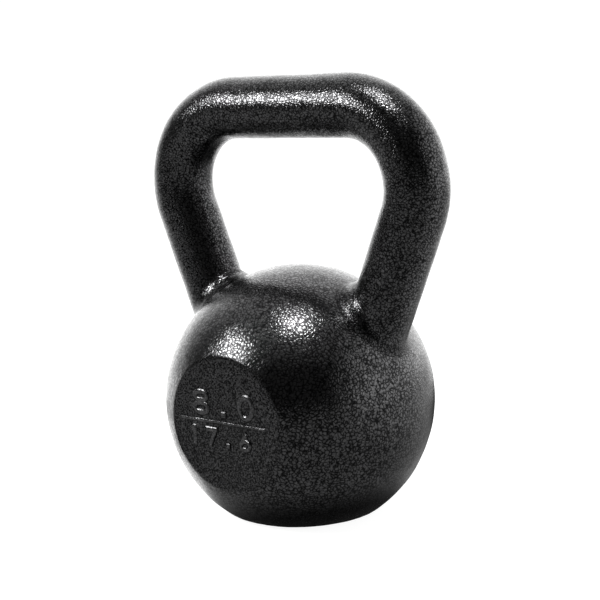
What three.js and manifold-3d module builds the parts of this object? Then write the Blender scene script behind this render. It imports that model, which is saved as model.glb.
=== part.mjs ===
// Solid iron kettlebell: a ball with a flat base and two flat faces, a bent round
// handle joined to it by a fillet of metal at each root, and raised weight figures.
// Millimetres, +Z up. The base rests on z = 0 and the handle lies in the XZ plane.

import * as THREE from 'three';
import { mergeVertices } from 'three/addons/utils/BufferGeometryUtils.js';
import Module from 'manifold-3d';

// ---- Driving dimensions ----

const BALL_RADIUS = 61.5;
const BALL_CENTRE_Z = 49.75;
const BASE_EDGE_RADIUS = 2.5;
const FACE_DISTANCE = 54;        // from the ball's centre to each flat face
const BAR_RADIUS = 14;
const BAR_AXIS_Z = 182;
const HANDLE_HALF_WIDTH = 65.2;  // from the middle to the outermost point of the bar's axis
const CORNER_RADIUS = 34.5;      // bend of the bar's axis at each upper corner
const LEG_TILT = THREE.MathUtils.degToRad(21.8);
const FILLET_HEIGHT = 5;         // up the leg
const FILLET_REACH = 4.5;        // out over the ball
const JOINT_GAP = 0.3;           // between two pieces that one surface would join

const FIGURE_RELIEF = 1;
const RULE_HALF_LENGTH = 24.3;
const RULE_WIDTH = 1.1;
const MARK_CENTRE_X = -2;
const MARK_CENTRE_Z = 50.5;

// ---- Fineness of the facets ----

const BALL_SIDES = 64;
const BALL_ARC_STEPS = 25;
const EDGE_ARC_STEPS = 3;
const BAR_SIDES = 32;
const BAR_STEPS = 56;
const FILLET_SIDES = 40;
const FILLET_STEPS = 4;
const FIGURE_CURVE_STEPS = 10;

// ---- Solids: a closed geometry in, a joined or cut geometry out ----

const wasm = await Module();
wasm.setup();

function toSolid(geometry) {
  const bare = geometry.clone();
  bare.deleteAttribute('normal');
  bare.deleteAttribute('uv');
  const merged = mergeVertices(bare, 1e-4);
  return new wasm.Manifold(new wasm.Mesh({
    numProp: 3,
    vertProperties: new Float32Array(merged.attributes.position.array),
    triVerts: new Uint32Array(merged.index.array),
  }));
}

function toGeometry(solid) {
  const mesh = solid.getMesh();
  const geometry = new THREE.BufferGeometry();
  geometry.setAttribute('position', new THREE.BufferAttribute(mesh.vertProperties, 3));
  geometry.setIndex(new THREE.BufferAttribute(mesh.triVerts, 1));
  geometry.computeVertexNormals();
  return geometry;
}

// ---- Ball ----

// A sphere about the ball's centre, cut flat at the base with a rounded edge there.
function ballOfRevolution() {
  const inner = BALL_RADIUS - BASE_EDGE_RADIUS;
  const rise = BALL_CENTRE_Z - BASE_EDGE_RADIUS;
  const edgeX = Math.sqrt(inner ** 2 - rise ** 2);
  const edgeAngle = Math.atan2(-rise, edgeX);
  const edge = new THREE.EllipseCurve(
    edgeX, BASE_EDGE_RADIUS, BASE_EDGE_RADIUS, BASE_EDGE_RADIUS, -Math.PI / 2, edgeAngle);
  const arc = new THREE.EllipseCurve(
    0, BALL_CENTRE_Z, BALL_RADIUS, BALL_RADIUS, edgeAngle, Math.PI / 2);
  const outline = [
    new THREE.Vector2(0, 0),
    ...edge.getPoints(EDGE_ARC_STEPS),
    ...arc.getPoints(BALL_ARC_STEPS).slice(1, -1),
    new THREE.Vector2(0, BALL_CENTRE_Z + BALL_RADIUS),
  ];
  return new THREE.LatheGeometry(outline, BALL_SIDES).rotateX(Math.PI / 2);
}

function ballGeometry() {
  const size = 3 * BALL_RADIUS;
  const slab = new THREE.BoxGeometry(size, 2 * FACE_DISTANCE, size);
  slab.translate(0, 0, BALL_CENTRE_Z);
  return toGeometry(toSolid(ballOfRevolution()).intersect(toSolid(slab)));
}

// The ball grown by the joint gap, which is cut out of what stands on the ball.
function ballCutter() {
  const sphere = new THREE.SphereGeometry(BALL_RADIUS + JOINT_GAP, BALL_SIDES, BALL_SIDES / 2);
  return toSolid(sphere.rotateX(Math.PI / 2).translate(0, 0, BALL_CENTRE_Z));
}

// ---- Handle ----

const cornerX = HANDLE_HALF_WIDTH - CORNER_RADIUS;
const cornerZ = BAR_AXIS_Z - CORNER_RADIUS;
const legTop = new THREE.Vector3(
  cornerX + CORNER_RADIUS * Math.cos(LEG_TILT), 0, cornerZ - CORNER_RADIUS * Math.sin(LEG_TILT));
const legDirection = new THREE.Vector3(-Math.sin(LEG_TILT), 0, -Math.cos(LEG_TILT));
const ballCentre = new THREE.Vector3(0, 0, BALL_CENTRE_Z);
const legRoot = new THREE.Ray(legTop, legDirection)
  .intersectSphere(new THREE.Sphere(ballCentre, BALL_RADIUS), new THREE.Vector3());

// The bar's axis: up the left leg, round the corner, across, and down the right leg.
class HandleAxis extends THREE.Curve {
  constructor(buried) {
    super();
    this.legLength = legTop.distanceTo(legRoot) + buried;
    this.cornerLength = CORNER_RADIUS * (Math.PI / 2 + LEG_TILT);
    this.halfLength = this.legLength + this.cornerLength + cornerX;
  }

  getPoint(t, target = new THREE.Vector3()) {
    const along = (2 * t - 1) * this.halfLength;
    const side = Math.sign(along) || 1;
    const fromMiddle = Math.abs(along);
    const turned = (fromMiddle - cornerX) / CORNER_RADIUS;
    const down = fromMiddle - cornerX - this.cornerLength;
    if (turned <= 0) {
      target.set(fromMiddle, 0, BAR_AXIS_Z);
    } else if (down <= 0) {
      target.set(
        cornerX + CORNER_RADIUS * Math.sin(turned), 0, cornerZ + CORNER_RADIUS * Math.cos(turned));
    } else {
      target.copy(legTop).addScaledVector(legDirection, down);
    }
    target.x *= side;
    return target;
  }
}

function handleGeometry() {
  const section = new THREE.Shape();
  section.absarc(0, 0, BAR_RADIUS, 0, 2 * Math.PI, false);
  const bar = new THREE.ExtrudeGeometry(section, {
    steps: BAR_STEPS,
    curveSegments: BAR_SIDES / 2,
    extrudePath: new HandleAxis(BAR_RADIUS),
  });
  return toGeometry(toSolid(bar).subtract(ballCutter()));
}

// ---- Fillet of metal round each root of the handle ----

// A ring turned about +Y and then leant over, so that its axis follows the leg while
// its foot lies along the ball's surface.
function filletGeometry(side) {
  const outward = legRoot.clone().sub(ballCentre).normalize();
  const upLeg = legDirection.clone().negate();
  const lean = upLeg.dot(outward);
  const across = new THREE.Vector3(0, 1, 0).cross(outward);
  const foot = BAR_RADIUS + FILLET_REACH;
  const drop = foot ** 2 / (2 * BALL_RADIUS);
  const inner = BAR_RADIUS + JOINT_GAP;
  const face = new THREE.QuadraticBezierCurve(
    new THREE.Vector2(foot, -drop),
    new THREE.Vector2(inner + 1, -1),
    new THREE.Vector2(inner + 0.5, FILLET_HEIGHT - 1));
  const section = [
    new THREE.Vector2(inner, -2 * drop),
    new THREE.Vector2(foot, -2 * drop),
    ...face.getPoints(FILLET_STEPS),
    new THREE.Vector2(inner, FILLET_HEIGHT - 1),
    new THREE.Vector2(inner, -2 * drop),
  ];
  const leaned = new THREE.Matrix4().makeBasis(
    across.divideScalar(lean), upLeg.divideScalar(lean), new THREE.Vector3(0, -1, 0));
  leaned.setPosition(legRoot);
  const ring = new THREE.LatheGeometry(section, FILLET_SIDES).applyMatrix4(leaned);
  const cut = toSolid(ring).subtract(ballCutter());
  return toGeometry(side > 0 ? cut : cut.mirror([1, 0, 0]));
}

// ---- Raised weight figures: kilograms over pounds, with a rule between ----

// One oval stroke, or a straight one between two points, as a flat outline.
function ovalStroke(x, z, halfWidth, halfHeight, stroke) {
  const outline = new THREE.Shape();
  outline.absellipse(x, z, halfWidth, halfHeight, 0, 2 * Math.PI, false);
  const hole = new THREE.Path();
  hole.absellipse(x, z, halfWidth - stroke, halfHeight - stroke, 0, 2 * Math.PI, true);
  outline.holes.push(hole);
  return outline;
}

function straightStroke(from, to, stroke) {
  const start = new THREE.Vector2(...from);
  const end = new THREE.Vector2(...to);
  const along = end.clone().sub(start).normalize();
  const aside = new THREE.Vector2(-along.y, along.x).multiplyScalar(stroke / 2);
  return new THREE.Shape([
    start.clone().sub(aside), end.clone().sub(aside), end.clone().add(aside), start.clone().add(aside),
  ]);
}

// Each figure stands on z = 0, in a box of the given height with its middle at x = 0.
const figureStrokes = {
  '0': (h, s) => [ovalStroke(0, h / 2, 0.4 * h, h / 2, s)],
  '1': (h, s) => [
    straightStroke([0, 0], [0, h], s),
    straightStroke([-0.24 * h, 0.76 * h], [0.1 * s, h - 0.45 * s], s),
  ],
  '6': (h, s) => [
    ovalStroke(0, 0.32 * h, 0.4 * h, 0.32 * h, s),
    straightStroke([-0.4 * h + s / 2, 0.32 * h], [0.12 * h, h - 0.4 * s], s),
  ],
  '7': (h, s) => [
    straightStroke([-0.38 * h, h - s / 2], [0.4 * h, h - s / 2], s),
    straightStroke([0.4 * h - 0.5 * s, h - 0.3 * s], [-0.12 * h, 0.2 * s], s),
  ],
  '8': (h, s) => [
    ovalStroke(0, 0.28 * h, 0.42 * h, 0.28 * h, s),
    ovalStroke(0, h - 0.26 * h, 0.38 * h, 0.26 * h, s),
  ],
  point: (h, s) => [straightStroke([-0.6 * s, 0.6 * s], [0.6 * s, 0.6 * s], 1.2 * s)],
};

function raised(outlines) {
  const solids = outlines.map((outline) => toSolid(new THREE.ExtrudeGeometry(outline, {
    depth: FIGURE_RELIEF,
    bevelEnabled: false,
    curveSegments: FIGURE_CURVE_STEPS,
  })));
  const joined = solids.reduce((whole, solid) => whole.add(solid));
  return toGeometry(joined).rotateX(Math.PI / 2);
}

const figureRows = [
  { base: 2.4, height: 11.2, stroke: 2.1, figures: [
    ['kilogram_units', '8', -10.8], ['kilogram_point', 'point', 1.6], ['kilogram_tenths', '0', 14]] },
  { base: -11, height: 8.4, stroke: 1.8, figures: [
    ['pound_tens', '1', -15], ['pound_units', '7', -5.5],
    ['pound_point', 'point', 3.5], ['pound_tenths', '6', 13]] },
];

// ---- Scene graph ----

const coat = { color: 0x1b1c1d, roughness: 0.45, metalness: 0.3 };

function piece(name, geometry, look = coat) {
  const mesh = new THREE.Mesh(geometry, new THREE.MeshStandardMaterial(look));
  mesh.name = name;
  return mesh;
}

const mark = new THREE.Group();
mark.position.set(MARK_CENTRE_X, -FACE_DISTANCE, MARK_CENTRE_Z);
const figureCoat = { ...coat, roughness: 0.4 };
for (const row of figureRows) {
  for (const [name, figure, x] of row.figures) {
    const mesh = piece(name, raised(figureStrokes[figure](row.height, row.stroke)), figureCoat);
    mesh.position.set(x, 0, row.base);
    mark.add(mesh);
  }
}
const rule = straightStroke([-RULE_HALF_LENGTH, 0], [RULE_HALF_LENGTH, 0], RULE_WIDTH);
mark.add(piece('rule', raised([rule]), figureCoat));

const kettlebell = new THREE.Group();
kettlebell.add(
  piece('ball', ballGeometry()),
  piece('handle', handleGeometry(), { ...coat, roughness: 0.5 }),
  piece('left_root_fillet', filletGeometry(-1)),
  piece('right_root_fillet', filletGeometry(1)),
  mark,
);

export default kettlebell;
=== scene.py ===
"""Solid iron kettlebell in black hammertone enamel, on a plain pale floor under soft studio light."""

import math

import bpy
import numpy as np
from mathutils import Matrix, Vector, noise


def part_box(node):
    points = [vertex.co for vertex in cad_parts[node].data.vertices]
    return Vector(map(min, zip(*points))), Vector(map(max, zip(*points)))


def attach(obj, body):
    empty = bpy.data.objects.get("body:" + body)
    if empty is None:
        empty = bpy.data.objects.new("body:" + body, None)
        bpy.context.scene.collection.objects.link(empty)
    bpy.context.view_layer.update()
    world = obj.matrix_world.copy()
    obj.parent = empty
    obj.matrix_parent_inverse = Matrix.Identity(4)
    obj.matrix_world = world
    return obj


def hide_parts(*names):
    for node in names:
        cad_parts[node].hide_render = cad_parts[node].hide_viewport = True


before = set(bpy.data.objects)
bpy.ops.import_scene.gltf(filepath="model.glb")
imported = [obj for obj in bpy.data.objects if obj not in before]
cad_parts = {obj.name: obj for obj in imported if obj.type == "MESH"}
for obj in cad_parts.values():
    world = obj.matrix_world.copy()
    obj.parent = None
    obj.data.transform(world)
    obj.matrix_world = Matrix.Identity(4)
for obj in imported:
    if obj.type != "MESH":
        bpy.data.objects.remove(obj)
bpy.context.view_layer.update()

MM = 0.001

# ---- Sizes that the frame gives ----

ball_low, ball_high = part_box("ball")
bar_low, bar_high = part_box("handle")
BALL_RADIUS = (ball_high.x - ball_low.x) / 2
BALL_CENTRE = Vector((0, 0, ball_high.z - BALL_RADIUS))
FACE_DISTANCE = ball_high.y
BAR_RADIUS = (bar_high.y - bar_low.y) / 2
BAR_AXIS_Z = bar_high.z - BAR_RADIUS
HANDLE_HALF_WIDTH = bar_high.x - BAR_RADIUS

# ---- Sizes that a box doesn't show ----

CORNER_RADIUS = 34.5 * MM
LEG_TILT = math.radians(21.8)
FACE_EDGE_RADIUS = 3.6 * MM
BASE_EDGE_BLEND = 0.8 * MM
ROOT_FILLET_RADIUS = 8 * MM
LEG_BURIED = 9 * MM             # how far a leg's axis runs on inside the ball
TUCK_LENGTH = 1 * MM            # how far a fillet runs on past its edges, just under the skin
TUCK_DEPTH = 0.12 * MM
SINK_DEPTH = LEG_BURIED / 4     # how deep a fillet's hidden back lies
FIGURE_STROKE_UPPER = 2.1 * MM
FIGURE_STROKE_LOWER = 1.8 * MM
FIGURE_SLOPE = 0.6 * MM         # half the width of a stroke's sloped side
FIGURE_SUNK = 0.03 * MM         # how far a figure's edge lies under the face
FIGURE_BACKING = 0.6 * MM       # thickness behind that edge, inside the ball
FIGURE_HEIGHT_SHARE = 0.62      # of the CAD figure's relief, whose sides are upright
RULE_HEIGHT_SHARE = 0.455

# Swells of the casting: wavelength, height and where in the noise to look.
CASTING_WAVES = (
    (22 * MM, 0.24 * MM, 3.1),
    (8 * MM, 0.09 * MM, 11.7),
    (3.6 * MM, 0.05 * MM, 23.9),
)

# ---- Fineness of the meshes ----

BALL_SIDES = 440
FLAT_RINGS = 26
FACE_EDGE_RINGS = 7
SPHERE_RINGS = 162
BAR_SIDES = 112
BAR_RING_SPACING = 0.85 * MM
FILLET_SIDES = 160
FILLET_STEPS = 14
FIGURE_GRID = 0.16 * MM


# ---- Mesh helpers ----

def add_piece(name, verts, faces, material, slot, *nodes):
    """A smooth-shaded mesh object that rides on the only body and stands for the given CAD nodes."""
    mesh = bpy.data.meshes.new(name)
    mesh.from_pydata([tuple(v) for v in verts], [], [tuple(f) for f in faces])
    mesh.validate()
    mesh.shade_smooth()
    mesh.materials.append(material)
    piece = bpy.data.objects.new(name, mesh)
    bpy.context.scene.collection.objects.link(piece)
    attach(piece, "root")
    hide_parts(*nodes)
    return piece


def grid_faces(rows, columns, wrap_rows=False):
    """Quads between the rows of a grid whose columns close on themselves."""
    faces = []
    for row in range(rows if wrap_rows else rows - 1):
        here = row * columns
        there = ((row + 1) % rows) * columns
        for column in range(columns):
            after = (column + 1) % columns
            faces.append((here + column, here + after, there + after, there + column))
    return faces


def swell(points, normals, wavelength, amplitude, seed):
    """Moves points along their normals by a smooth random wave."""
    offset = Vector((seed, seed * 0.7, -seed))
    lift = [noise.noise(Vector(p) / wavelength + offset) for p in points]
    return points + normals * (np.array(lift) * amplitude)[:, None]


def cast_surface(points, normals):
    """The slightly uneven skin of an iron casting under paint."""
    for wavelength, amplitude, seed in CASTING_WAVES:
        points = swell(points, normals, wavelength, amplitude, seed)
    return points


# ---- Ball ----

def ball_profile():
    """Half outline of the ball about the Y axis, from the front face's centre to the back face's.
    Each point has its radius, its place along Y and the angle of its normal from -Y."""
    edge_y = FACE_DISTANCE - FACE_EDGE_RADIUS
    edge_r = math.sqrt((BALL_RADIUS - FACE_EDGE_RADIUS) ** 2 - edge_y ** 2)
    rim_angle = math.atan2(edge_r, edge_y)
    front = [(r, -FACE_DISTANCE, 0.0) for r in np.linspace(0, edge_r, FLAT_RINGS)]
    for angle in np.linspace(0, rim_angle, FACE_EDGE_RINGS)[1:]:
        r = edge_r + FACE_EDGE_RADIUS * math.sin(angle)
        y = edge_y + FACE_EDGE_RADIUS * math.cos(angle)
        front.append((r, -y, angle))
    sphere = []
    for angle in np.linspace(rim_angle, math.pi - rim_angle, SPHERE_RINGS)[1:-1]:
        sphere.append((BALL_RADIUS * math.sin(angle), -BALL_RADIUS * math.cos(angle), angle))
    back = [(r, -y, math.pi - angle) for r, y, angle in reversed(front)]
    return front + sphere + back


def build_ball(material, face_material):
    """The weight: the outline turned about Y, cut off at the base, with the flats in their own enamel."""
    sides = BALL_SIDES
    profile = np.array(ball_profile())
    turn = np.linspace(0, 2 * math.pi, sides, endpoint=False)
    r, y, angle = (profile[1:-1, k][:, None] for k in range(3))
    points = np.stack([r * np.cos(turn), y + 0 * turn, r * np.sin(turn)], -1).reshape(-1, 3)
    normals = np.stack(
        [np.sin(angle) * np.cos(turn), -np.cos(angle) + 0 * turn, np.sin(angle) * np.sin(turn)], -1)
    normals = normals.reshape(-1, 3)
    poles = np.array([[0, -FACE_DISTANCE, 0], [0, FACE_DISTANCE, 0]])
    points = np.vstack([points, poles])
    normals = np.vstack([normals, [[0, -1, 0], [0, 1, 0]]])
    points, normals = cut_base(points, normals)
    points = points + np.array(BALL_CENTRE)
    nearly_down = -0.999
    on_base = normals[:, 2] < nearly_down
    lifted = cast_surface(points, normals)
    points = np.where(on_base[:, None], points, lifted)
    points[:, 2] = np.maximum(points[:, 2], 0)
    rows = len(profile) - 2
    faces = grid_faces(rows, sides)
    first, last = rows * sides, rows * sides + 1
    for column in range(sides):
        after = (column + 1) % sides
        faces.append((first, after, column))
        faces.append((last, (rows - 1) * sides + column, (rows - 1) * sides + after))
    ball = add_piece("ball_casting", points, faces, material, "ball_enamel", "ball")
    ball.data.materials.append(face_material)
    deepest_dent = 0.3 * MM
    flat_y = FACE_DISTANCE - deepest_dent
    for polygon in ball.data.polygons:
        if abs(polygon.center.y) > flat_y:
            polygon.material_index = 1


def cut_base(points, normals):
    """Pulls the underside in to the flat base, with a rounded edge: a smooth minimum of two distances
    from the ball's centre, to the sphere and to the base."""
    depth = BALL_CENTRE.z
    length = np.linalg.norm(points, axis=1)
    nearly_level = 1e-6
    down = np.maximum(-points[:, 2] / length, nearly_level)
    reach = depth / down
    gap = np.abs(length - reach)
    overlap = np.maximum(BASE_EDGE_BLEND - gap, 0) / BASE_EDGE_BLEND
    new_length = np.minimum(length, reach) - overlap ** 2 * BASE_EDGE_BLEND / 4
    share = np.clip(0.5 + 0.5 * (length - reach) / BASE_EDGE_BLEND, 0, 1)[:, None]
    blended = normals * (1 - share) + np.array([0, 0, -1.0]) * share
    blended /= np.linalg.norm(blended, axis=1)[:, None]
    return points * (new_length / length)[:, None], blended


# ---- Handle ----

CORNER_X = HANDLE_HALF_WIDTH - CORNER_RADIUS
CORNER_Z = BAR_AXIS_Z - CORNER_RADIUS
LEG_TOP = Vector((
    CORNER_X + CORNER_RADIUS * math.cos(LEG_TILT), 0, CORNER_Z - CORNER_RADIUS * math.sin(LEG_TILT)))
LEG_DOWN = Vector((-math.sin(LEG_TILT), 0, -math.cos(LEG_TILT)))


def leg_length():
    """From the end of the corner down the leg's axis to the ball."""
    start = LEG_TOP - BALL_CENTRE
    along = start.dot(LEG_DOWN)
    return -along - math.sqrt(along ** 2 - start.length_squared + BALL_RADIUS ** 2)


def handle_axis(distance):
    """Point and outward normal of the bar's axis at a distance from its middle, on the right side."""
    turned = (distance - CORNER_X) / CORNER_RADIUS
    full_turn = math.pi / 2 + LEG_TILT
    if turned <= 0:
        return (distance, BAR_AXIS_Z), (0.0, 1.0)
    if turned <= full_turn:
        outward = (math.sin(turned), math.cos(turned))
        return (CORNER_X + CORNER_RADIUS * outward[0], CORNER_Z + CORNER_RADIUS * outward[1]), outward
    down = distance - CORNER_X - CORNER_RADIUS * full_turn
    return (
        (LEG_TOP.x + LEG_DOWN.x * down, LEG_TOP.z + LEG_DOWN.z * down),
        (math.cos(LEG_TILT), -math.sin(LEG_TILT)))


def build_handle(material):
    """The bent round bar, whose ends are closed inside the ball."""
    sides = BAR_SIDES
    half = CORNER_X + CORNER_RADIUS * (math.pi / 2 + LEG_TILT) + leg_length() + LEG_BURIED
    rows = 2 * round(half / BAR_RING_SPACING) + 1
    turn = np.linspace(0, 2 * math.pi, sides, endpoint=False)
    points, normals = [], []
    for along in np.linspace(-half, half, rows):
        (x, z), (out_x, out_z) = handle_axis(abs(along))
        side = -1 if along < 0 else 1
        ring = np.stack([side * out_x * np.cos(turn), np.sin(turn), out_z * np.cos(turn)], -1)
        normals.append(ring)
        points.append(ring * BAR_RADIUS + np.array([side * x, 0, z]))
    normals = np.vstack(normals)
    points = cast_surface(np.vstack(points), normals)
    faces = grid_faces(rows, sides)
    faces.append(tuple(range(sides)))
    faces.append(tuple(reversed(range((rows - 1) * sides, rows * sides))))
    add_piece("handle_bar", points, faces, material, "handle_enamel", "handle")


# ---- Fillets at the handle's roots ----

def build_root_fillet(side, material):
    """The surface of a ball rolled round the corner between leg and weight, closed inside the iron.
    Each section is an arc from leg to weight, then a point just under the skin and a deep one at each end."""
    steps = FILLET_STEPS
    leg_out = Vector((math.cos(LEG_TILT), 0, -math.sin(LEG_TILT)))
    rings, ring_normals = [], []
    roll = ROOT_FILLET_RADIUS
    for turn in np.linspace(0, 2 * math.pi, FILLET_SIDES, endpoint=False):
        out = leg_out * math.cos(turn) + Vector((0, 1, 0)) * math.sin(turn)
        start = LEG_TOP + out * (BAR_RADIUS + roll) - BALL_CENTRE
        along = start.dot(LEG_DOWN)
        down = -along - math.sqrt(along ** 2 - start.length_squared + (BALL_RADIUS + roll) ** 2)
        centre = start + LEG_DOWN * down
        to_leg = -out
        to_ball = -centre.normalized()
        swing = to_leg.angle(to_ball)
        section, section_normals = [], []
        for step in range(steps + 1):
            share = step / steps
            direction = (
                to_leg * math.sin((1 - share) * swing) + to_ball * math.sin(share * swing)) / math.sin(swing)
            section.append(BALL_CENTRE + centre + direction * roll)
            section_normals.append(-direction)
        on_along_ball = (to_ball * math.cos(swing) - to_leg) / math.sin(swing)
        up_along_leg = (to_leg * math.cos(swing) - to_ball) / math.sin(swing)
        tucked = []
        for end, on in ((steps, on_along_ball), (0, up_along_leg)):
            inward = -section_normals[end]
            under_skin = section[end] + on * TUCK_LENGTH + inward * TUCK_DEPTH
            deep = section[end] + inward * SINK_DEPTH
            tucked += [under_skin, deep] if end else [deep, under_skin]
            section_normals += [-inward, -inward]
        section += tucked
        rings.append(section)
        ring_normals.append(section_normals)
    points = np.array([[tuple(p) for p in section] for section in rings])
    normals = np.array([[tuple(n) for n in section] for section in ring_normals])
    points = points.transpose(1, 0, 2).reshape(-1, 3)
    normals = normals.transpose(1, 0, 2).reshape(-1, 3)
    points[:, 0] *= side
    normals[:, 0] *= side
    points = cast_surface(points, normals)
    faces = grid_faces(len(rings[0]), FILLET_SIDES, wrap_rows=True)
    if side > 0:
        faces = [tuple(reversed(face)) for face in faces]
    name = "right_root_fillet" if side > 0 else "left_root_fillet"
    add_piece(name + "_skin", points, faces, material, "fillet_enamel", name)


# ---- Raised figures ----

def oval(x, z, half_width, half_height, stroke):
    """Distance outside an oval stroke, in a figure's own plane."""
    def outside(u, v):
        middle_w, middle_h = half_width - stroke / 2, half_height - stroke / 2
        du, dv = (u - x) / middle_w, (v - z) / middle_h
        never_zero = 1e-9
        level = np.sqrt(du ** 2 + dv ** 2) + never_zero
        slope = np.sqrt((du / middle_w) ** 2 + (dv / middle_h) ** 2) / level
        return np.abs(level - 1) / slope - stroke / 2
    return outside


def line(start, end, stroke):
    """Distance outside a straight stroke with square ends."""
    def outside(u, v):
        (x0, z0), (x1, z1) = start, end
        length = math.hypot(x1 - x0, z1 - z0)
        ax, az = (x1 - x0) / length, (z1 - z0) / length
        along = (u - (x0 + x1) / 2) * ax + (v - (z0 + z1) / 2) * az
        across = -(u - (x0 + x1) / 2) * az + (v - (z0 + z1) / 2) * ax
        past_end = np.abs(along) - length / 2
        past_side = np.abs(across) - stroke / 2
        over = np.maximum(past_end, past_side)
        corner = np.hypot(np.maximum(past_end, 0), np.maximum(past_side, 0))
        return np.where(over > 0, corner, over)
    return outside


# Each figure's strokes, from its height h and stroke width s. It stands on 0, with its middle near 0.
FIGURE_STROKES = {
    "0": lambda h, s: [oval(0, h / 2, 0.4 * h, h / 2, s)],
    "1": lambda h, s: [
        line((0, 0), (0, h), s),
        line((-0.24 * h, 0.76 * h), (0.1 * s, h - 0.45 * s), s)],
    "6": lambda h, s: [
        oval(0, 0.32 * h, 0.4 * h, 0.32 * h, s),
        line((-0.4 * h + s / 2, 0.32 * h), (0.12 * h, h - 0.4 * s), s)],
    "7": lambda h, s: [
        line((-0.38 * h, h - s / 2), (0.4 * h, h - s / 2), s),
        line((0.4 * h - 0.5 * s, h - 0.3 * s), (-0.12 * h, 0.2 * s), s)],
    "8": lambda h, s: [
        oval(0, 0.28 * h, 0.42 * h, 0.28 * h, s),
        oval(0, h - 0.26 * h, 0.38 * h, 0.26 * h, s)],
    "point": lambda h, s: [line((-0.6 * s, 0.6 * s), (0.6 * s, 0.6 * s), 1.2 * s)],
}


def build_relief(name, node, strokes, material, height_share):
    """Strokes that stand out of the front face with sloped, rounded sides, in the place of a CAD node."""
    low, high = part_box(node)
    slope = FIGURE_SLOPE
    margin = 2 * slope
    reach = high.x - low.x + high.z - low.z
    own = np.arange(-reach, reach, FIGURE_GRID)
    u, v = np.meshgrid(own, own)
    outside = np.min([stroke(u, v) for stroke in strokes], axis=0)
    shift_u = low.x - u[outside <= 0].min()
    shift_v = low.z - v[outside <= 0].min()
    columns_kept = (own > low.x - shift_u - margin) & (own < high.x - shift_u + margin)
    rows_kept = (own > low.z - shift_v - margin) & (own < high.z - shift_v + margin)
    near = np.ix_(rows_kept, columns_kept)
    u, v, outside = u[near] + shift_u, v[near] + shift_v, outside[near]
    share = np.clip((slope - outside) / (2 * slope), 0, 1)
    relief = (high.y - low.y) * height_share
    rise = relief * share * share * (3 - 2 * share) - FIGURE_SUNK
    points = np.stack([u, -FACE_DISTANCE - rise, v], -1)
    rows, columns = u.shape
    points = points.reshape(-1, 3)
    outward = np.tile([0.0, -1.0, 0.0], (len(points), 1))
    points = cast_surface(points, outward)
    faces = []
    for row in range(rows - 1):
        for column in range(columns - 1):
            at = row * columns + column
            faces.append((at, at + 1, at + columns + 1, at + columns))
    rim = list(range(columns))
    rim += [row * columns + columns - 1 for row in range(1, rows)]
    rim += [(rows - 1) * columns + column for column in range(columns - 2, -1, -1)]
    rim += [row * columns for row in range(rows - 2, 0, -1)]
    back = points[rim] + np.array([0, FIGURE_BACKING, 0])
    first = rows * columns
    for k, corner in enumerate(rim):
        after = (k + 1) % len(rim)
        faces.append((corner, first + k, first + after, rim[after]))
    faces.append(tuple(first + k for k in range(len(rim))))
    add_piece(name, np.vstack([points, back]), faces, material, "figure_enamel", node)


FIGURES = {
    "kilogram_units": ("8", FIGURE_STROKE_UPPER),
    "kilogram_point": ("point", FIGURE_STROKE_UPPER),
    "kilogram_tenths": ("0", FIGURE_STROKE_UPPER),
    "pound_tens": ("1", FIGURE_STROKE_LOWER),
    "pound_units": ("7", FIGURE_STROKE_LOWER),
    "pound_point": ("point", FIGURE_STROKE_LOWER),
    "pound_tenths": ("6", FIGURE_STROKE_LOWER),
}


def build_figures(material):
    """The weight in kilograms over the weight in pounds, with a rule between."""
    for node, (figure, stroke) in FIGURES.items():
        low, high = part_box("kilogram_units" if stroke == FIGURE_STROKE_UPPER else "pound_tens")
        strokes = FIGURE_STROKES[figure](high.z - low.z, stroke)
        build_relief(node + "_relief", node, strokes, material, FIGURE_HEIGHT_SHARE)
    low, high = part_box("rule")
    half = (high.x - low.x) / 2
    stroke = line((-half, 0), (half, 0), high.z - low.z)
    build_relief("rule_relief", "rule", [stroke], material, RULE_HEIGHT_SHARE)


# ---- Enamel ----

VEIN_BLACK = (0.003, 0.003, 0.0032, 1)
ISLAND_GREY = (0.125, 0.125, 0.127, 1)
VEIN_ROUGHNESS = 0.28

# The pattern. Scales are waves per island, shares are parts of an island's size, and heights are parts
# of the relief. Nearly all of a noise's values lie between NOISE_LOW and NOISE_HIGH.
NOISE_LOW = 0.3
NOISE_HIGH = 0.7
WANDER_SCALE = 0.55         # slow waves in the islands' outlines
WANDER_SHARE = 0.6
RAGGED_SCALE = 2.0          # quick waves in the islands' outlines
RAGGED_SHARE = 0.4
PATCH_SCALE = 0.25          # patches with narrower or wider veins
NARROW_VEIN = 0.2
WIDE_VEIN = 0.34
VEIN_CORE = 0.02            # the fully black middle of a vein
JOINED_SCALE = 1.1          # places where neighbouring islands have run together
JOINED_ABOVE = 0.56
JOINED_HEIGHT = 0.6
SHADE_SCALE = 0.9           # islands that are darker as a whole
DARKEST_SHADE = 0.6
SPECKLE_PER_MM = 1.3
SPECKLE_DARK = 0.4          # the noise where the speckle is darkest and where it is gone
SPECKLE_CLEAR = 0.6
ISLAND_SHOULDER = 0.42      # where an island reaches its full height
ORANGE_PEEL_SCALE = 0.7     # waves in the height that take no notice of the islands
ORANGE_PEEL_HEIGHT = 0.7
SPECKLE_HEIGHT = 0.3

# Painted shade that darkens a figure's foot and lower sides, in millimetres out of the face, and the tones at
# its two ends.
FOOT_TOP = 0.5
FOOT_BOTTOM = 0.1
PLATEAU_TONE = 1.7
FOOT_SHADE_TONE = 0.03

# Painted shade in the crease where a root fillet meets the ball, in millimetres above the ball's surface.
CORNER_LOW = 0.8
CORNER_HIGH = 2.6
CORNER_SHADE_TONE = 0.5


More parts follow.
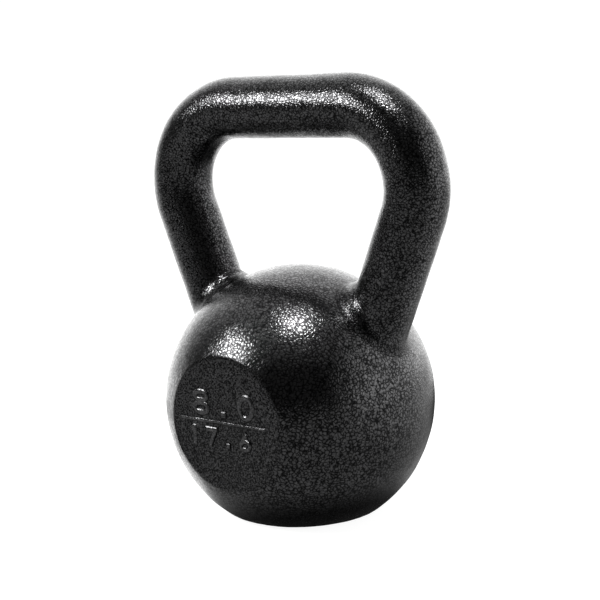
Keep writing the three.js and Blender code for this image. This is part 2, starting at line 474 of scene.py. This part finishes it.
class Nodes:
    """Short names for the shader nodes that patterns and light levels are built from, in one node tree."""

    def __init__(self, tree):
        self.tree = tree

    def link(self, source, target):
        self.tree.links.new(source, target)

    def node(self, kind, **settings):
        node = self.tree.nodes.new(kind)
        for key, value in settings.items():
            setattr(node, key, value)
        return node

    def feed(self, node, inputs):
        """Links each input that is given a socket, and sets each that is given a value."""
        for key, value in inputs.items():
            if isinstance(value, bpy.types.NodeSocket):
                self.link(value, node.inputs[key])
            else:
                node.inputs[key].default_value = value
        return node

    def maths(self, operation, a, b):
        node = self.node("ShaderNodeMath", operation=operation)
        return self.feed(node, {0: a, 1: b}).outputs[0]

    def vector(self, operation, *inputs):
        """A vector, or a number where the operation is DOT_PRODUCT or LENGTH."""
        node = self.node("ShaderNodeVectorMath", operation=operation)
        self.feed(node, dict(enumerate(inputs)))
        return node.outputs["Value" if operation in ("DOT_PRODUCT", "LENGTH") else "Vector"]

    def scaled(self, vector, scale):
        node = self.node("ShaderNodeVectorMath", operation="SCALE")
        return self.feed(node, {0: vector, "Scale": scale}).outputs["Vector"]

    def ramp(self, value, low, high, to_low=0.0, to_high=1.0):
        """A smooth step from to_low, where value is at low, to to_high, where it is at high."""
        node = self.node("ShaderNodeMapRange", interpolation_type="SMOOTHSTEP")
        limits = {"From Min": low, "From Max": high, "To Min": to_low, "To Max": to_high}
        return self.feed(node, {"Value": value, **limits}).outputs["Result"]

    def noise(self, place, scale, detail=2.0):
        node = self.node("ShaderNodeTexNoise", noise_dimensions="3D")
        return self.feed(node, {"Vector": place, "Scale": scale, "Detail": detail}).outputs

    def cell_edge(self, place, scale):
        """Distance from the edge between two cells, in a pattern of irregular cells."""
        node = self.node("ShaderNodeTexVoronoi", feature="DISTANCE_TO_EDGE", voronoi_dimensions="3D")
        return self.feed(node, {"Vector": place, "Scale": scale}).outputs["Distance"]

    def mix(self, share, a, b):
        node = self.node("ShaderNodeMix", data_type="FLOAT")
        return self.feed(node, {0: share, 2: a, 3: b}).outputs[0]

    def mix_colour(self, share, a, b):
        node = self.node("ShaderNodeMix", data_type="RGBA")
        return self.feed(node, {0: share, 6: a, 7: b}).outputs[2]


def hammertone(name, cell, relief, veins=1.0, grain=0.2, smoothest=0.1, on_figures=False, on_fillets=False):
    """Black hammertone enamel: glossy grey islands that stand up between black veins.
    cell is an island's size and relief its height, both in millimetres.
    veins is how dark the veins are, and grain how deep a fine speckle is, both from 0 to 1.
    smoothest is the roughness of the palest islands.
    on_figures paints shade at the foot of the raised figures, and on_fillets paints shade on a fillet next to
    the ball."""
    material = bpy.data.materials.new(name)
    material.use_nodes = True
    n = Nodes(material.node_tree)
    place = n.scaled(n.node("ShaderNodeTexCoord").outputs["Object"], 1 / MM)

    mid_grey = (0.5, 0.5, 0.5)
    wander = n.vector("SUBTRACT", n.noise(place, WANDER_SCALE / cell)["Color"], mid_grey)
    ragged = n.vector("SUBTRACT", n.noise(place, RAGGED_SCALE / cell, 1.0)["Color"], mid_grey)
    warped = n.vector("ADD", place, n.scaled(wander, WANDER_SHARE * cell))
    warped = n.vector("ADD", warped, n.scaled(ragged, RAGGED_SHARE * cell))
    edge = n.cell_edge(warped, 1.0 / cell)
    patch = n.noise(place, PATCH_SCALE / cell)["Fac"]
    joined = n.ramp(n.noise(place, JOINED_SCALE / cell, 1.0)["Fac"], JOINED_ABOVE, NOISE_HIGH)

    vein = n.ramp(edge, VEIN_CORE, n.ramp(patch, NOISE_LOW, NOISE_HIGH, NARROW_VEIN, WIDE_VEIN))
    vein = n.mix(veins, 1.0, n.mix(joined, vein, 1.0))
    shade = n.noise(place, SHADE_SCALE / cell)["Fac"]
    shade = n.ramp(shade, NOISE_LOW, NOISE_HIGH, DARKEST_SHADE, 1.0)
    speckle = n.noise(place, SPECKLE_PER_MM, 1.0)["Fac"]
    speckle = n.ramp(speckle, SPECKLE_DARK, SPECKLE_CLEAR, 1.0 - grain, 1.0)
    tone = n.maths("MULTIPLY", n.maths("MULTIPLY", vein, shade), speckle)

    height = n.maths("MULTIPLY", n.ramp(edge, 0.0, ISLAND_SHOULDER), n.mix(joined, 1.0, JOINED_HEIGHT))
    orange_peel = n.noise(place, ORANGE_PEEL_SCALE / cell)["Fac"]
    height = n.maths("ADD", height, n.maths("MULTIPLY", orange_peel, ORANGE_PEEL_HEIGHT))
    height = n.maths("ADD", height, n.maths("MULTIPLY", speckle, SPECKLE_HEIGHT))

    if on_figures:
        # Painted shade: the figures darken towards their foot on the face and are paler on their tops.
        split = n.feed(n.node("ShaderNodeSeparateXYZ"), {0: place})
        face = -FACE_DISTANCE / MM
        painted_foot_shade = n.ramp(split.outputs["Y"], face - FOOT_TOP, face - FOOT_BOTTOM, PLATEAU_TONE, FOOT_SHADE_TONE)
        tone = n.maths("MULTIPLY", tone, painted_foot_shade)
    if on_fillets:
        # Painted shade: the fillet darkens towards the crease at the ball.
        from_centre = n.vector("LENGTH", n.vector("SUBTRACT", place, tuple(BALL_CENTRE / MM)))
        skin = BALL_RADIUS / MM
        clear = n.ramp(from_centre, skin + CORNER_LOW, skin + CORNER_HIGH)
        tone = n.maths("MULTIPLY", tone, n.ramp(clear, 0.0, 1.0, CORNER_SHADE_TONE, 1.0))

    bump = n.node("ShaderNodeBump")
    n.feed(bump, {"Strength": 1.0, "Distance": relief * MM, "Height": height})
    n.feed(n.tree.nodes["Principled BSDF"], {
        "Base Color": n.mix_colour(tone, VEIN_BLACK, ISLAND_GREY),
        "Roughness": n.mix(tone, VEIN_ROUGHNESS, smoothest),
        "Metallic": 1.0,
        "Normal": bump.outputs["Normal"]})
    return material


# ---- Studio ----

CAMERA_AZIMUTH = math.radians(37.2)
CAMERA_ELEVATION = math.radians(9.8)
CAMERA_ROLL = math.radians(-2.2)
CAMERA_DISTANCE = 576 * MM
CAMERA_TARGET_Z = 95.1 * MM
CAMERA_SIDE_SHIFT = 1.45 * MM
CAMERA_LENS = 76.13

PAPER_COLOUR = (0.3, 0.3, 0.3, 1)

# Light levels, of which 1 is just white in the picture.
PAPER_GLOW = 0.93
BACKDROP_WHITE = 1.05
DARKEST_SURROUND = 0.06
PLAIN_FLOOR = 0.4
DARKEST_FLOOR = 0.03

FLOOR_HALF_WIDTH = 4.0
REFLECTED_FLOOR_DEPTH = 0.3 * MM    # below the floor that the camera sees

# Painted shadows on the glowing reflected floor: x and y of the middle, and the radii where each is black and
# gone.
PAINTED_SHADOWS = (
    (7 * MM, -2 * MM, 36 * MM, 62 * MM),
    (-140 * MM, -80 * MM, 35 * MM, 85 * MM),
    (-50 * MM, 190 * MM, 60 * MM, 190 * MM),
)


def build_camera():
    """A long lens at the right of the front, a little above the ball and rolled slightly."""
    back = Vector((
        math.sin(CAMERA_AZIMUTH) * math.cos(CAMERA_ELEVATION),
        -math.cos(CAMERA_AZIMUTH) * math.cos(CAMERA_ELEVATION),
        math.sin(CAMERA_ELEVATION)))
    right = Vector((math.cos(CAMERA_AZIMUTH), math.sin(CAMERA_AZIMUTH), 0))
    up = back.cross(right)
    data = bpy.data.cameras.new("camera")
    data.sensor_width = 36
    data.lens = CAMERA_LENS
    data.clip_start = 0.01
    camera = bpy.data.objects.new("camera", data)
    camera.location = Vector((0, 0, CAMERA_TARGET_Z)) + right * CAMERA_SIDE_SHIFT + back * CAMERA_DISTANCE
    rolled_right = right * math.cos(CAMERA_ROLL) + up * math.sin(CAMERA_ROLL)
    rolled_up = up * math.cos(CAMERA_ROLL) - right * math.sin(CAMERA_ROLL)
    axes = (rolled_right, rolled_up, back)
    camera.rotation_euler = Matrix(axes).transposed().to_euler()
    bpy.context.scene.collection.objects.link(camera)
    bpy.context.scene.camera = camera


def softbox(name, place, aim, width, height, power):
    """A rectangular light at place that faces aim, in metres and watts. It isn't in the picture itself."""
    data = bpy.data.lights.new(name, "AREA")
    data.shape = "RECTANGLE"
    data.size = width
    data.size_y = height
    data.energy = power
    light = bpy.data.objects.new(name, data)
    light.location = place
    light.rotation_euler = (Vector(aim) - Vector(place)).to_track_quat("-Z", "Y").to_euler()
    light.visible_camera = False
    bpy.context.scene.collection.objects.link(light)


def build_lights():
    softbox(
        "top_softbox", place=(0.11, -0.19, 0.92), aim=(0.03, -0.03, 0.1),
        width=0.25, height=0.2, power=5.6)
    softbox(
        "left_softbox", place=(-0.265, -0.35, 0.395), aim=(0, 0, 0.1),
        width=0.22, height=0.17, power=2.8)


def towards(azimuth):
    """A level direction, with 0 degrees at the front and 90 at the right."""
    turn = math.radians(azimuth)
    return math.sin(turn), -math.cos(turn), 0


class Studio(Nodes):
    """Light levels that change smoothly with a direction or a place."""

    def rise(self, value, start, end, level):
        """From 0 at start to level at end."""
        return self.ramp(value, start, end, 0.0, level)

    def lobe(self, direction, azimuth, start, end, level):
        """Light round one compass direction, where start and end are cosines of the angle from it.
        An end above 1 stops the light short of its level."""
        return self.rise(self.vector("DOT_PRODUCT", direction, towards(azimuth)), start, end, level)

    def add(self, first, *others):
        for other in others:
            first = self.maths("ADD", first, other)
        return first


def build_surround():
    """What the enamel reflects: bright behind at the left, less so behind at the right and above, and
    dark where the camera stands. The camera itself sees plain white."""
    world = bpy.data.worlds.new("backdrop")
    bpy.context.scene.world = world
    world.use_nodes = True
    studio = Studio(world.node_tree)
    direction = studio.node("ShaderNodeTexCoord").outputs["Generated"]
    split = studio.feed(studio.node("ShaderNodeSeparateXYZ"), {0: direction})
    above_the_left = (-0.35, 0.2, 0.91)
    level = studio.add(
        studio.lobe(direction, azimuth=-148, start=0.2, end=1.05, level=2.2),
        studio.lobe(direction, azimuth=130, start=0.4, end=0.95, level=1.5),
        studio.rise(studio.vector("DOT_PRODUCT", direction, above_the_left), start=0.6, end=0.95, level=0.5),
        studio.rise(split.outputs["Z"], start=0.6, end=0.85, level=0.3),
        DARKEST_SURROUND)
    to_camera = studio.node("ShaderNodeLightPath").outputs["Is Camera Ray"]
    studio.feed(world.node_tree.nodes["Background"], {
        "Color": (1, 1, 1, 1),
        "Strength": studio.mix(to_camera, level, BACKDROP_WHITE)})


def floor_plane(name, z, seen_by_camera):
    """The shader of a wide flat plane that glows, for the camera or for reflections only."""
    half = FLOOR_HALF_WIDTH
    mesh = bpy.data.meshes.new(name)
    corners = [(-half, -half, z), (half, -half, z), (half, half, z), (-half, half, z)]
    mesh.from_pydata(corners, [], [(0, 1, 2, 3)])
    material = bpy.data.materials.new(name)
    material.use_nodes = True
    mesh.materials.append(material)
    floor = bpy.data.objects.new(name, mesh)
    bpy.context.scene.collection.objects.link(floor)
    floor.visible_camera = seen_by_camera
    floor.visible_glossy = not seen_by_camera
    floor.visible_diffuse = not seen_by_camera
    floor.visible_shadow = False
    shader = material.node_tree.nodes["Principled BSDF"]
    shader.inputs["Roughness"].default_value = 1.0
    shader.inputs["Specular IOR Level"].default_value = 0.0
    shader.inputs["Emission Color"].default_value = (1, 1, 1, 1)
    return shader


def build_white_floor():
    """White paper that glows, so that little is left on it but the shadow at the foot."""
    shader = floor_plane("floor", 0, True)
    shader.inputs["Base Color"].default_value = PAPER_COLOUR
    shader.inputs["Emission Strength"].default_value = PAPER_GLOW


def build_reflected_floor():
    """The floor as the enamel sees it, glowing with painted light: brightest at the left, with a painted
    shadow under the kettlebell, one at the front left and one behind."""
    shader = floor_plane("floor_in_reflections", -REFLECTED_FLOOR_DEPTH, False)
    shader.inputs["Base Color"].default_value = (0, 0, 0, 1)
    studio = Studio(shader.id_data)
    place = studio.node("ShaderNodeTexCoord").outputs["Object"]
    direction = studio.vector("NORMALIZE", place)
    distance = studio.vector("LENGTH", place)

    # Painted light: glowing pools at the left, near and farther out, and a dimmer glow behind at the right
    # beyond the kettlebell.
    near_left = studio.lobe(direction, azimuth=-90, start=0.5, end=1.0, level=1.35)
    near = studio.rise(distance, start=240 * MM, end=140 * MM, level=1.0)
    far_left = studio.lobe(direction, azimuth=-128, start=0.5, end=0.95, level=1.5)
    far = studio.rise(distance, start=180 * MM, end=300 * MM, level=1.0)
    back_right = studio.lobe(direction, azimuth=140, start=0.2, end=1.0, level=0.6)
    past_the_shadow = studio.rise(distance, start=60 * MM, end=220 * MM, level=1.0)
    level = studio.add(
        studio.maths("MULTIPLY", near_left, near),
        studio.maths("MULTIPLY", far_left, far),
        studio.maths("MULTIPLY", back_right, past_the_shadow),
        studio.lobe(direction, azimuth=-60, start=0.3, end=1.0, level=0.15),
        PLAIN_FLOOR)
    # Painted shadows: each patch darkens the glow.
    for x, y, dark, clear in PAINTED_SHADOWS:
        away = studio.vector("LENGTH", studio.vector("SUBTRACT", place, (x, y, 0)))
        level = studio.maths("MULTIPLY", level, studio.rise(away, start=dark, end=clear, level=1.0))
    studio.link(studio.add(level, DARKEST_FLOOR), shader.inputs["Emission Strength"])


# ---- Assembly ----

bpy.context.scene.view_settings.view_transform = "Standard"
build_camera()
build_lights()
build_surround()
build_white_floor()
build_reflected_floor()

ball_enamel = hammertone("ball_enamel", cell=1.5, relief=0.042, veins=0.95)
face_enamel = hammertone("face_enamel", cell=0.9, relief=0.025, veins=0.6, grain=0.85, smoothest=0.2)
handle_enamel = hammertone("handle_enamel", cell=1.3, relief=0.055, veins=0.97, grain=0.3)
fillet_enamel = hammertone("fillet_enamel", cell=1.25, relief=0.06, on_fillets=True)
figure_enamel = hammertone(
    "figure_enamel", cell=0.9, relief=0.045, veins=0.5, grain=0.5, smoothest=0.2, on_figures=True)

build_ball(ball_enamel, face_enamel)
build_handle(handle_enamel)
build_root_fillet(-1, fillet_enamel)
build_root_fillet(1, fillet_enamel)
build_figures(figure_enamel)
